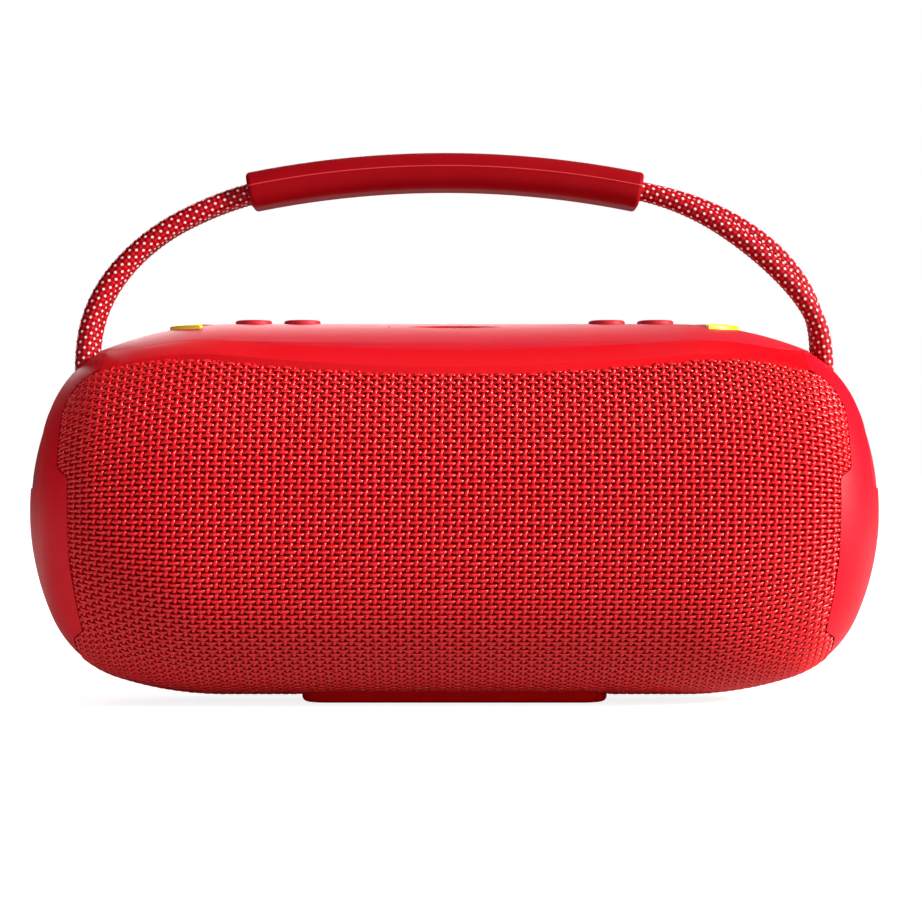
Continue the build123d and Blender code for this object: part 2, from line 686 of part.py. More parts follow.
REAR_ROPE = (
    (-130.4, 8.0, 101.7),
    (-130.7, 8.1, 111.7),
    (-130.8, 8.4, 122.7),
    (-129.4, 8.6, 134.4),
    (-124.6, 8.3, 146.2),
    (-116.0, 7.6, 157.4),
    (-104.6, 6.8, 166.9),
    (-91.0, 5.8, 174.0),
    (-76.0, 4.8, 179.6),
    (-57.5, 4.1, 183.8),
    (-36.0, 3.9, 186.5),
    (-12.0, 3.9, 187.8),
    (12.0, 3.9, 187.6),
    (34.0, 3.9, 185.9),
    (52.0, 4.1, 183.9),
    (70.0, 4.8, 181.4),
    (87.0, 5.8, 176.8),
    (102.4, 6.8, 169.6),
    (115.6, 7.6, 159.8),
    (125.2, 8.3, 147.8),
    (130.2, 8.6, 135.2),
    (131.2, 8.4, 123.7),
    (130.8, 8.1, 112.2),
    (130.4, 8.0, 101.7),
)

for name, points in (("rope_front", FRONT_ROPE), ("rope_rear", REAR_ROPE)):
    path, radii = rope_route(points)
    tube = rope_tube(points, ROPE_DIAMETER)
    print(name, "length", round(path.length, 1), "radii", [round(radius) for radius in radii])
    print(name, "volume over section times length", tube.volume / (pi * ROPE_DIAMETER**2 / 4 * path.length))
    with BuildPart() as rope:
        add(tube)
    rope.part.label = name
    export_step(rope.part, f"parts/{name}.step")

with BuildPart() as grip:
    half_turn = degrees(GRIP_LENGTH / 2 / GRIP_ARC_RADIUS)
    for direction in (-1, 1):
        with BuildSketch(Plane.YZ.offset(GRIP_MID_X)):
            with Locations((0, GRIP_MID_Z)):
                RectangleRounded(*GRIP_SECTION, GRIP_CORNER)
        revolve(
            axis=Axis((GRIP_MID_X, 0, GRIP_MID_Z - GRIP_ARC_RADIUS), (0, direction, 0)),
            revolution_arc=half_turn,
        )
    ends = grip.faces().sort_by(Axis.X)
    fillet(ends[0].edges() + ends[-1].edges(), radius=GRIP_END_FILLET)
    add(rope_tube(FRONT_ROPE, GRIP_CHANNEL_DIAMETER), mode=Mode.SUBTRACT)
    add(rope_tube(REAR_ROPE, GRIP_CHANNEL_DIAMETER), mode=Mode.SUBTRACT)

grip.part.label = "grip"
export_step(grip.part, "parts/grip.step")

# ---------------------------------------------------------------- rear ports
PORT_MIDDLE = (PORT_LOW + PORT_HIGH) / 2
USB_AT = (14.0, PORT_MIDDLE)
AUX_AT = (-14.0, PORT_MIDDLE)
USB_SIZE = (9.4, 3.6)
USB_CORNER = 1.6
USB_WALL = 0.55
USB_TONGUE = (6.0, 0.8)
AUX_RADIUS = 3.0
AUX_BORE_RADIUS = 1.8
PORT_BOARD_SIZE = (58.0, 20.0)
PORT_FACE = barrel(PORT_FACE_DEPTH)
COVER_BACK = barrel(COVER_DEPTH)

with BuildPart() as port_panel:
    with BuildSketch(SIDE_PLANE.offset(-PORT_BACK_Y)):
        with Locations((0, PORT_MIDDLE)):
            Rectangle(2 * PORT_HALF_LENGTH, PORT_HIGH - PORT_LOW)
    extrude(amount=-REACH)
    add(PORT_FACE, mode=Mode.INTERSECT)
    with BuildSketch(SIDE_PLANE.offset(-PORT_BACK_Y)):
        with Locations(USB_AT):
            RectangleRounded(*USB_SIZE, USB_CORNER)
        with Locations(AUX_AT):
            Circle(AUX_RADIUS)
    extrude(amount=-REACH, mode=Mode.SUBTRACT)

port_panel.part.label = "port_panel"
export_step(port_panel.part, "parts/port_panel.step")

with BuildPart() as port_cover:
    with BuildSketch(SIDE_PLANE.offset(-PORT_BACK_Y)):
        with Locations((0, PORT_MIDDLE)):
            RectangleRounded(
                2 * (PORT_HALF_LENGTH - COVER_GAP), PORT_HIGH - PORT_LOW - 2 * COVER_GAP, COVER_CORNER
            )
    extrude(amount=-REACH)
    add(BARREL, mode=Mode.INTERSECT)
    add(COVER_BACK, mode=Mode.SUBTRACT)

port_cover.part.label = "port_cover"
export_step(port_cover.part, "parts/port_cover.step")

with BuildPart() as usb_socket:
    with BuildSketch(SIDE_PLANE.offset(SOCKET_BACK - PORT_BACK_Y)):
        with Locations(USB_AT):
            RectangleRounded(
                USB_SIZE[0] - 2 * SOCKET_GAP, USB_SIZE[1] - 2 * SOCKET_GAP, USB_CORNER - SOCKET_GAP
            )
    extrude(amount=-SOCKET_LENGTH)
    with BuildSketch(SIDE_PLANE.offset(-PORT_BACK_Y)):
        with Locations(USB_AT):
            RectangleRounded(USB_SIZE[0] - 2 * USB_WALL, USB_SIZE[1] - 2 * USB_WALL, USB_CORNER - USB_WALL)
            Rectangle(*USB_TONGUE, mode=Mode.SUBTRACT)
    extrude(amount=-SOCKET_LENGTH, mode=Mode.SUBTRACT)

usb_socket.part.label = "usb_socket"
export_step(usb_socket.part, "parts/usb_socket.step")

with BuildPart() as aux_socket:
    with BuildSketch(SIDE_PLANE.offset(SOCKET_BACK - PORT_BACK_Y)):
        with Locations(AUX_AT):
            Circle(AUX_RADIUS - SOCKET_GAP)
    extrude(amount=-SOCKET_LENGTH)
    with BuildSketch(SIDE_PLANE.offset(-PORT_BACK_Y)):
        with Locations(AUX_AT):
            Circle(AUX_BORE_RADIUS)
    extrude(amount=-SOCKET_LENGTH, mode=Mode.SUBTRACT)

aux_socket.part.label = "aux_socket"
export_step(aux_socket.part, "parts/aux_socket.step")

with BuildPart() as port_board:
    with BuildSketch(SIDE_PLANE.offset(SOCKET_BACK - PORT_BACK_Y)):
        with Locations((0, PORT_MIDDLE)):
            Rectangle(*PORT_BOARD_SIZE)
    extrude(amount=PORT_BOARD_THICKNESS)

port_board.part.label = "port_board"
export_step(port_board.part, "parts/port_board.step")

# ---------------------------------------------------------------- baffles
with BuildPart() as front_baffle:
    with BuildSketch(SIDE_PLANE.offset(BAFFLE_Y)):
        Rectangle(2 * BAFFLE_HALF_LENGTH, 2 * BODY_RADIUS)
        with Locations((-WOOFER_X, 0), (WOOFER_X, 0)):
            Circle(WOOFER_HOLE_RADIUS, mode=Mode.SUBTRACT)
            with PolarLocations(WOOFER_SCREW_RADIUS, 4, start_angle=45):
                Circle(SCREW_HOLE_RADIUS, mode=Mode.SUBTRACT)
        Circle(TWEETER_HOLE_RADIUS, mode=Mode.SUBTRACT)
        with PolarLocations(TWEETER_SCREW_RADIUS, 2, start_angle=90):
            Circle(SCREW_HOLE_RADIUS, mode=Mode.SUBTRACT)
    extrude(amount=-BAFFLE_THICKNESS)
    add(COLLAR_OUTSIDE, mode=Mode.INTERSECT)

front_baffle.part.label = "front_baffle"
export_step(front_baffle.part, "parts/front_baffle.step")

with BuildPart() as rear_baffle:
    with BuildSketch(SIDE_PLANE.offset(-BAFFLE_Y)):
        Rectangle(2 * BAFFLE_HALF_LENGTH, 2 * BODY_RADIUS)
        SlotOverall(*RADIATOR_HOLE, mode=Mode.SUBTRACT)
    extrude(amount=BAFFLE_THICKNESS)
    add(COLLAR_OUTSIDE, mode=Mode.INTERSECT)

rear_baffle.part.label = "rear_baffle"
export_step(rear_baffle.part, "parts/rear_baffle.step")


# ---------------------------------------------------------------- drivers
def driver_plane(x):
    """Half plane of a driver's section: local X is its radius, local Y runs back from the baffle's face."""
    return Plane(origin=(x, -BAFFLE_Y, AXIS_Z), x_dir=(1, 0, 0), z_dir=(0, 0, 1))


def driver_axis(x):
    """Centre line of a driver."""
    return Axis((x, -BAFFLE_Y, AXIS_Z), (0, 1, 0))


DUST_CAP_RADIUS = 11.7
DUST_CAP_Y = 8.4 + DUST_CAP_RADIUS
DUST_CAP_ANGLE = 48.0
MAGNET_EDGE = 1.5
ROLL_CENTRE = (28.0, -2.0)
ROLL_RADIUS = 2.6
ROLL_WALL = 0.8

for side, sign in SIDES:
    x = sign * WOOFER_X
    plane = driver_plane(x)
    axis = driver_axis(x)

    with BuildPart() as woofer_frame:
        with BuildSketch(plane):
            with BuildLine():
                Polyline(
                    (29.4, -2.0),
                    (40.0, -2.0),
                    (40.0, 0.0),
                    (31.0, 0.0),
                    (20.6, 26.0),
                    (9.6, 26.0),
                    (9.6, 24.2),
                    (18.8, 24.2),
                    (29.4, -0.5),
                    close=True,
                )
            make_face()
        revolve(axis=axis)
        with BuildSketch(SIDE_PLANE.offset(BAFFLE_Y)):
            with Locations((x, 0)):
                with PolarLocations(WOOFER_SCREW_RADIUS, 4, start_angle=45):
                    Circle(SCREW_HOLE_RADIUS)
        extrude(amount=SCREW_LENGTH, both=True, mode=Mode.SUBTRACT)
    woofer_frame.part.label = f"woofer_frame_{side}"
    export_step(woofer_frame.part, f"parts/woofer_frame_{side}.step")

    with BuildPart() as woofer_magnet:
        with BuildSketch(plane):
            with BuildLine():
                Polyline(
                    (0, 21.0), (7.2, 21.0), (7.2, 26.0), (19.0, 26.0), (19.0, 39.0), (0, 39.0), close=True
                )
            make_face()
        revolve(axis=axis)
        fillet(woofer_magnet.faces().sort_by(Axis.Y)[-1].edges(), radius=MAGNET_EDGE)
    woofer_magnet.part.label = f"woofer_magnet_{side}"
    export_step(woofer_magnet.part, f"parts/woofer_magnet_{side}.step")

    with BuildPart() as woofer_cone:
        with BuildSketch(plane):
            with BuildLine():
                front = CenterArc((0, DUST_CAP_Y), DUST_CAP_RADIUS, -90, DUST_CAP_ANGLE)
                back = CenterArc((0, DUST_CAP_Y), DUST_CAP_RADIUS - 1, -90, DUST_CAP_ANGLE)
                Polyline(front @ 1, (24.0, -1.2), (26.2, -1.2), (26.2, -0.4), (24.5, -0.4), (8.8, 13.8))
                Polyline((8.8, 13.8), (8.8, 23.5), (7.8, 23.5), back @ 1)
                Line(back @ 0, front @ 0)
            make_face()
        revolve(axis=axis)
    woofer_cone.part.label = f"woofer_cone_{side}"
    export_step(woofer_cone.part, f"parts/woofer_cone_{side}.step")

    with BuildPart() as woofer_surround:
        with BuildSketch(plane):
            with BuildLine():
                outer = CenterArc(ROLL_CENTRE, ROLL_RADIUS, 180, 180)
                inner = CenterArc(ROLL_CENTRE, ROLL_RADIUS - ROLL_WALL, 180, 180)
                Line(outer @ 0, inner @ 0)
                Line(outer @ 1, inner @ 1)
            make_face()
            with Locations((24.9, -1.6)):
                Rectangle(2.6, ROLL_WALL)
            with Locations((32.1, -2.4)):
                Rectangle(3.8, ROLL_WALL)
        revolve(axis=axis)
    woofer_surround.part.label = f"woofer_surround_{side}"
    export_step(woofer_surround.part, f"parts/woofer_surround_{side}.step")

with BuildPart() as woofer_screws:
    for sign in (-1, 1):
        with BuildSketch(SIDE_PLANE.offset(BAFFLE_Y + FLANGE_THICKNESS)):
            with Locations((sign * WOOFER_X, 0)):
                with PolarLocations(WOOFER_SCREW_RADIUS, 4, start_angle=45):
                    Circle(SCREW_HEAD_RADIUS)
        extrude(amount=SCREW_HEAD_HEIGHT)
        with BuildSketch(SIDE_PLANE.offset(BAFFLE_Y + FLANGE_THICKNESS)):
            with Locations((sign * WOOFER_X, 0)):
                with PolarLocations(WOOFER_SCREW_RADIUS, 4, start_angle=45):
                    Circle(SCREW_RADIUS)
        extrude(amount=-SCREW_LENGTH)

woofer_screws.part.label = "woofer_screws"
export_step(woofer_screws.part, "parts/woofer_screws.step")

with BuildPart() as tweeter_frame:
    with BuildSketch(driver_plane(0)):
        with BuildLine():
            Polyline(
                (10.0, -2.0),
                (17.0, -2.0),
                (17.0, 0.0),
                (11.8, 0.0),
                (11.8, 10.0),
                (0, 10.0),
                (0, 6.0),
                (10.0, 6.0),
                close=True,
            )
        make_face()
    revolve(axis=driver_axis(0))
    with BuildSketch(SIDE_PLANE.offset(BAFFLE_Y)):
        with PolarLocations(TWEETER_SCREW_RADIUS, 2, start_angle=90):
            Circle(SCREW_HOLE_RADIUS)
    extrude(amount=SCREW_LENGTH, both=True, mode=Mode.SUBTRACT)

tweeter_frame.part.label = "tweeter_frame"
export_step(tweeter_frame.part, "parts/tweeter_frame.step")

DOME_RADIUS = 9.6
DOME_Y = DOME_RADIUS - 1.6
DOME_ANGLE = 70.0

with BuildPart() as tweeter_dome:
    with BuildSketch(driver_plane(0)):
        with BuildLine():
            front = CenterArc((0, DOME_Y), DOME_RADIUS, -90, DOME_ANGLE)
            back = CenterArc((0, DOME_Y), DOME_RADIUS - 1, -90, DOME_ANGLE)
            Polyline(front @ 1, (9.8, 4.6), (9.8, 6.0), (8.2, 6.0), back @ 1)
            Line(back @ 0, front @ 0)
        make_face()
    revolve(axis=driver_axis(0))

tweeter_dome.part.label = "tweeter_dome"
export_step(tweeter_dome.part, "parts/tweeter_dome.step")

with BuildPart() as tweeter_screws:
    with BuildSketch(SIDE_PLANE.offset(BAFFLE_Y + FLANGE_THICKNESS)):
        with PolarLocations(TWEETER_SCREW_RADIUS, 2, start_angle=90):
            Circle(SCREW_HEAD_RADIUS)
    extrude(amount=SCREW_HEAD_HEIGHT)
    with BuildSketch(SIDE_PLANE.offset(BAFFLE_Y + FLANGE_THICKNESS)):
        with PolarLocations(TWEETER_SCREW_RADIUS, 2, start_angle=90):
            Circle(SCREW_RADIUS)
    extrude(amount=-SCREW_LENGTH)

tweeter_screws.part.label = "tweeter_screws"
export_step(tweeter_screws.part, "parts/tweeter_screws.step")

with BuildPart() as radiator_plate:
    with BuildSketch(SIDE_PLANE.offset(RADIATOR_PLATE_FACE - BAFFLE_Y)):
        SlotOverall(*RADIATOR_PLATE)
    extrude(amount=-RADIATOR_PLATE_THICKNESS)

radiator_plate.part.label = "radiator_plate"
export_step(radiator_plate.part, "parts/radiator_plate.step")

with BuildPart() as radiator_surround:
    back = RADIATOR_PLATE_FACE - RADIATOR_PLATE_THICKNESS
    with BuildSketch(SIDE_PLANE.offset(back - BAFFLE_Y)):
        SlotOverall(RADIATOR_HOLE[0] + SURROUND_LAP, RADIATOR_HOLE[1] + SURROUND_LAP)
        SlotOverall(RADIATOR_PLATE[0] - SURROUND_LAP, RADIATOR_PLATE[1] - SURROUND_LAP, mode=Mode.SUBTRACT)
    extrude(amount=-SURROUND_WALL)
    with BuildSketch(SIDE_PLANE.offset(back - SURROUND_WALL - BAFFLE_Y)):
        SlotOverall(RADIATOR_HOLE[0] - SURROUND_LAP, RADIATOR_HOLE[1] - SURROUND_LAP)
        SlotOverall(RADIATOR_PLATE[0] + SURROUND_LAP, RADIATOR_PLATE[1] + SURROUND_LAP, mode=Mode.SUBTRACT)
    extrude(amount=-SURROUND_WALL)

radiator_surround.part.label = "radiator_surround"
export_step(radiator_surround.part, "parts/radiator_surround.step")

# ---------------------------------------------------------------- battery and main board
CELL_RADIUS = 9.2
CELL_LENGTH = 65.0
CELL_YS = (-19.2, 0.0, 19.2)
CELL_Z = -37.0
TRAY_SIZE = (92.0, 60.0)
TRAY_CORNER = 4.0
TRAY_LOW = -48.0
POST_SPACING = (82.0, 48.0)
POST_RADIUS = 3.2
CELL_END_GAP = 0.3
MAIN_BOARD_Z = -24.0
MAIN_BOARD_SIZE = (94.0, 58.0)
CHIP_SIDE = 12.0
CHIPS_AT = ((-20.0, 16.0), (4.0, 18.0))
CAPACITOR_RADIUS = 3.0
CAPACITORS_AT = ((24.0, 16.0), (34.0, 16.0))
COMPONENT_HEIGHT = 1.8

with BuildPart() as battery_cells:
    with BuildSketch(END_PLANE.offset(-CELL_LENGTH / 2)):
        with Locations(*[(y, CELL_Z) for y in CELL_YS]):
            Circle(CELL_RADIUS)
    extrude(amount=CELL_LENGTH)

battery_cells.part.label = "battery_cells"
export_step(battery_cells.part, "parts/battery_cells.step")

with BuildPart() as battery_tray:
    with BuildSketch(AXIS_PLANE.offset(TRAY_LOW)):
        RectangleRounded(*TRAY_SIZE, TRAY_CORNER)
    extrude(amount=CELL_Z - TRAY_LOW)
    with BuildSketch(END_PLANE.offset(-CELL_LENGTH / 2 - CELL_END_GAP)):
        with Locations(*[(y, CELL_Z) for y in CELL_YS]):
            Circle(CELL_RADIUS + JOINT_GAP)
    extrude(amount=CELL_LENGTH + 2 * CELL_END_GAP, mode=Mode.SUBTRACT)
    with BuildSketch(AXIS_PLANE.offset(CELL_Z)):
        with GridLocations(*POST_SPACING, 2, 2):
            Circle(POST_RADIUS)
    extrude(amount=MAIN_BOARD_Z - CELL_Z)
    with BuildSketch(AXIS_PLANE.offset(MAIN_BOARD_Z)):
        with GridLocations(*POST_SPACING, 2, 2):
            Circle(SCREW_HOLE_RADIUS)
    extrude(amount=-SCREW_LENGTH, mode=Mode.SUBTRACT)

battery_tray.part.label = "battery_tray"
export_step(battery_tray.part, "parts/battery_tray.step")

with BuildPart() as main_board:
    with BuildSketch(AXIS_PLANE.offset(MAIN_BOARD_Z)):
        RectangleRounded(*MAIN_BOARD_SIZE, BOARD_CORNER)
        with GridLocations(*POST_SPACING, 2, 2):
            Circle(SCREW_HOLE_RADIUS, mode=Mode.SUBTRACT)
    extrude(amount=BOARD_THICKNESS)
    with BuildSketch(AXIS_PLANE.offset(MAIN_BOARD_Z + BOARD_THICKNESS)):
        with Locations(*CHIPS_AT):
            Rectangle(CHIP_SIDE, CHIP_SIDE)
        with Locations(*CAPACITORS_AT):
            Circle(CAPACITOR_RADIUS)
    extrude(amount=COMPONENT_HEIGHT)

main_board.part.label = "main_board"
export_step(main_board.part, "parts/main_board.step")

with BuildPart() as main_board_screws:
    with BuildSketch(AXIS_PLANE.offset(MAIN_BOARD_Z + BOARD_THICKNESS)):
        with GridLocations(*POST_SPACING, 2, 2):
            Circle(SCREW_HEAD_RADIUS)
    extrude(amount=SCREW_HEAD_HEIGHT)
    with BuildSketch(AXIS_PLANE.offset(MAIN_BOARD_Z + BOARD_THICKNESS)):
        with GridLocations(*POST_SPACING, 2, 2):
            Circle(SCREW_RADIUS)
    extrude(amount=-SCREW_LENGTH)

main_board_screws.part.label = "main_board_screws"
export_step(main_board_screws.part, "parts/main_board_screws.step")
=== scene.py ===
"""Looks of a barrel-shaped portable speaker: woven wrap, braided rope handle, grip, caps and panel.

Lengths are in metres, except where a name ends in MM. The frame is the CAD model's: +X runs along the
barrel, the front faces -Y and +Z is up.
"""

import json
import math

import bpy
import numpy as np
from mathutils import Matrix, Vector
from mathutils.bvhtree import BVHTree
from mathutils.kdtree import KDTree


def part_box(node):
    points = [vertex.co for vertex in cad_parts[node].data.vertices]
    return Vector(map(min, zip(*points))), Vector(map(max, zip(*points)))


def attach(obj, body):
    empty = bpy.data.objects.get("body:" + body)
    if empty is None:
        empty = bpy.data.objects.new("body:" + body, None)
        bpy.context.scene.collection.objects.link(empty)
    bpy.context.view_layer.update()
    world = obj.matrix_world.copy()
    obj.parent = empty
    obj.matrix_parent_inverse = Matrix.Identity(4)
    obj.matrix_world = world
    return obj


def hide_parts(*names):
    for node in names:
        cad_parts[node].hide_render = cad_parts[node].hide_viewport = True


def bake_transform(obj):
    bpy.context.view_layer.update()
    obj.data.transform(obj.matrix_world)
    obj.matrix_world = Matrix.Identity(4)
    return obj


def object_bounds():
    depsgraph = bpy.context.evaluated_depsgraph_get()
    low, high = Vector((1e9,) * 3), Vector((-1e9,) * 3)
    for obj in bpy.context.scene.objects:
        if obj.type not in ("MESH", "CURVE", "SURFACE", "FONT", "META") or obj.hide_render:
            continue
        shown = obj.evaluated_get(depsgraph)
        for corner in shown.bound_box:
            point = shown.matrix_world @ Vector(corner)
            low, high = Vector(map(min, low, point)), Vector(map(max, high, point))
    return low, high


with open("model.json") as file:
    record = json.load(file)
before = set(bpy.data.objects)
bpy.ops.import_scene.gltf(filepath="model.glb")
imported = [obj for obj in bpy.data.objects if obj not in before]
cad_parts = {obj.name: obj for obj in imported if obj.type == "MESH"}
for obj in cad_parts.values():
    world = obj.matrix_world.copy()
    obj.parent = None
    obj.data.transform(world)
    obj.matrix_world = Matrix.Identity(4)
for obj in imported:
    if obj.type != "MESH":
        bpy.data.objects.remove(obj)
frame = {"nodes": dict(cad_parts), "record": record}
cad_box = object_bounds()
scene = bpy.context.scene
nodes = frame["nodes"]
MM = 0.001

# ---------------------------------------------------------------- barrel
# The barrel's outline: a straight middle, a shoulder arc and a corner arc, all tangent. FABRIC_TOP is how
# far the CAD's fabric skin lies below it.
BODY_HALF = (cad_box[1].x - cad_box[0].x) / 2
BODY_RADIUS = 65.0 * MM
FABRIC_TOP = 0.2 * MM
AXIS_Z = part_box("fabric_wrap")[0].z + BODY_RADIUS - FABRIC_TOP
FLAT_HALF = 81.0 * MM
SHOULDER_RADIUS = 126.0 * MM
SHOULDER_TURN = math.radians(17.4)
END_RADIUS = 93.0 * MM
shoulder_end = Vector(
    (
        FLAT_HALF + SHOULDER_RADIUS * math.sin(SHOULDER_TURN),
        BODY_RADIUS - SHOULDER_RADIUS * (1 - math.cos(SHOULDER_TURN)),
    )
)
shoulder_normal = Vector((math.sin(SHOULDER_TURN), math.cos(SHOULDER_TURN)))
to_shoulder = shoulder_end - Vector((BODY_HALF - END_RADIUS, 0))
CORNER_RADIUS = (to_shoulder.length_squared - END_RADIUS**2) / (
    2 * (to_shoulder.dot(shoulder_normal) - END_RADIUS)
)
corner_centre = shoulder_end - shoulder_normal * CORNER_RADIUS


def outline_at(along):
    """Place along the barrel, radius and turn of the outline at each arc length from its middle."""
    far = np.abs(along)
    shoulder = np.clip((far - FLAT_HALF) / SHOULDER_RADIUS, 0, SHOULDER_TURN)
    beyond = np.maximum(far - FLAT_HALF - SHOULDER_RADIUS * SHOULDER_TURN, 0)
    turn = shoulder + beyond / CORNER_RADIUS
    x = np.minimum(far, FLAT_HALF) + SHOULDER_RADIUS * np.sin(shoulder)
    radius = BODY_RADIUS - SHOULDER_RADIUS * (1 - np.cos(shoulder))
    x = x + CORNER_RADIUS * (np.sin(turn) - np.sin(shoulder))
    radius = radius - CORNER_RADIUS * (np.cos(shoulder) - np.cos(turn))
    return np.sign(along) * x, radius, np.sign(along) * turn


def barrel_frame(along, angle, rise):
    """Points that far above the barrel, with their outward, lengthwise and girthwise directions.

    The angle is 0 at the front and grows towards the top.
    """
    x, radius, turn = outline_at(along)
    round_y, round_z = -np.cos(angle), np.sin(angle)
    out = np.stack([np.sin(turn), np.cos(turn) * round_y, np.cos(turn) * round_z], axis=-1)
    length = np.stack([np.cos(turn), -np.sin(turn) * round_y, -np.sin(turn) * round_z], axis=-1)
    girth = np.stack([np.zeros_like(angle), np.sin(angle), np.cos(angle)], axis=-1)
    centre = np.stack([x, radius * round_y, radius * round_z + AXIS_Z], axis=-1)
    return centre + out * rise[..., None], out, length, girth


# ---------------------------------------------------------------- mesh helpers
def new_piece(name, vertices, faces):
    """Smoothly shaded object with a mesh made from points and faces."""
    mesh = bpy.data.meshes.new(name)
    mesh.from_pydata([tuple(v) for v in vertices], [], [tuple(int(i) for i in f) for f in faces])
    mesh.polygons.foreach_set("use_smooth", [True] * len(mesh.polygons))
    mesh.update()
    piece = bpy.data.objects.new(name, mesh)
    scene.collection.objects.link(piece)
    return piece


def grid_faces(rings, sides):
    """Quads between closed rings of points that follow each other."""
    ring, side = np.meshgrid(np.arange(rings - 1), np.arange(sides), indexing="ij")
    here, ahead = ring.ravel() * sides, (ring.ravel() + 1) * sides
    side = side.ravel()
    after = (side + 1) % sides
    return np.stack([here + side, here + after, ahead + after, ahead + side], axis=1)


def end_caps(rings, sides, first=0):
    """Faces that close the two ends of a run of rings."""
    last = first + (rings - 1) * sides
    return [list(range(first, first + sides))[::-1], list(range(last, last + sides))]


# ---------------------------------------------------------------- materials
def node_tree(name):
    """New material with a Principled shader: the material, its tree and its shader."""
    made = bpy.data.materials.new(name)
    made.use_nodes = True
    tree = made.node_tree
    return made, tree, tree.nodes["Principled BSDF"]


def mixed_colour(tree, factor, low, high):
    """Colour that runs from low to high with a factor socket."""
    mix = tree.nodes.new("ShaderNodeMix")
    mix.data_type = "RGBA"
    tree.links.new(factor, mix.inputs["Factor"])
    for socket, value in ((mix.inputs[6], low), (mix.inputs[7], high)):
        if isinstance(value, bpy.types.NodeSocket):
            tree.links.new(value, socket)
        else:
            socket.default_value = (*value, 1)
    return mix.outputs[2]


def spread_value(tree, source, low, high, start=0.0, stop=1.0):
    """Value that runs from low to high while the source runs from start to stop."""
    spread = tree.nodes.new("ShaderNodeMapRange")
    spread.inputs["From Min"].default_value = start
    spread.inputs["From Max"].default_value = stop
    spread.inputs["To Min"].default_value = low
    spread.inputs["To Max"].default_value = high
    tree.links.new(source, spread.inputs["Value"])
    return spread.outputs["Result"]


def object_coordinates(tree):
    """The object's own coordinates."""
    return tree.nodes.new("ShaderNodeTexCoord").outputs["Object"]


def noise(tree, scale, detail=2.0):
    """Noise in the object's own coordinates."""
    cloud = tree.nodes.new("ShaderNodeTexNoise")
    cloud.inputs["Scale"].default_value = scale
    cloud.inputs["Detail"].default_value = detail
    tree.links.new(object_coordinates(tree), cloud.inputs["Vector"])
    return cloud.outputs["Fac"]


def attribute(tree, name):
    """Value that the mesh holds at each point."""
    read = tree.nodes.new("ShaderNodeAttribute")
    read.attribute_name = name
    return read.outputs["Fac"]


def bump(tree, shader, height, distance, strength=1.0):
    """Surface relief of the given depth."""
    relief = tree.nodes.new("ShaderNodeBump")
    relief.inputs["Distance"].default_value = distance
    relief.inputs["Strength"].default_value = strength
    tree.links.new(height, relief.inputs["Height"])
    tree.links.new(relief.outputs["Normal"], shader.inputs["Normal"])


BLOTCH_SCALE = 60
GLOSS_SPREAD = 0.05
COAT_ROUGHNESS = 0.25


def moulded(
    name, colour, roughness, grain=1500, depth=0.02 * MM, coat=0.0, specular=0.5, vary=0.08, metallic=0.0
):
    """Moulded, painted or metal surface: fine grain, faint blotches and uneven gloss."""
    made, tree, shader = node_tree(name)
    blotch = noise(tree, BLOTCH_SCALE, 3)
    darker = tuple(c * (1 - vary) for c in colour)
    lighter = tuple(min(1, c * (1 + vary) + 0.002) for c in colour)
    tree.links.new(mixed_colour(tree, blotch, darker, lighter), shader.inputs["Base Color"])
    fine = noise(tree, grain)
    gloss = spread_value(tree, fine, roughness - GLOSS_SPREAD, roughness + GLOSS_SPREAD)
    tree.links.new(gloss, shader.inputs["Roughness"])
    bump(tree, shader, fine, depth)
    shader.inputs["Coat Weight"].default_value = coat
    shader.inputs["Coat Roughness"].default_value = COAT_ROUGHNESS
    shader.inputs["Specular IOR Level"].default_value = specular
    shader.inputs["Metallic"].default_value = metallic
    return made


YARN_TONE_SCALE = 420
YARN_ROUGHNESS = (0.19, 0.28)
YARN_SPECULAR = 0.55
YARN_SHEEN = 0.02
YARN_SHEEN_ROUGHNESS = 0.4
PLY_DEPTH = 0.03 * MM


def yarn_material(name, colour, deep, pitch):
    """Twisted yarn with a glossy filament surface: faint diagonal plies and small changes of tone."""
    made, tree, shader = node_tree(name)
    tone = noise(tree, YARN_TONE_SCALE)
    tree.links.new(mixed_colour(tree, tone, deep, colour), shader.inputs["Base Color"])
    plies = tree.nodes.new("ShaderNodeTexWave")
    plies.wave_type = "BANDS"
    plies.bands_direction = "DIAGONAL"
    plies.inputs["Scale"].default_value = 1 / pitch
    plies.inputs["Distortion"].default_value = 1.5
    tree.links.new(object_coordinates(tree), plies.inputs["Vector"])
    bump(tree, shader, plies.outputs["Fac"], PLY_DEPTH, 0.5)
    tree.links.new(spread_value(tree, tone, *YARN_ROUGHNESS), shader.inputs["Roughness"])
    shader.inputs["Sheen Weight"].default_value = YARN_SHEEN
    shader.inputs["Sheen Roughness"].default_value = YARN_SHEEN_ROUGHNESS
    shader.inputs["Specular IOR Level"].default_value = YARN_SPECULAR
    return made


FLECK_RADIUS = 0.50 * MM
FLECK_BLUR = 0.1 * MM
FLECK_COLOUR = (0.92, 0.66, 0.66)
# Dark red painted into the braid's grooves where the relief is low: painted shade, not a colour of the yarn.
GROOVE_SHADE_COLOUR = (0.10, 0.0, 0.002)
STRAND_COLOUR = (0.62, 0.0, 0.006)


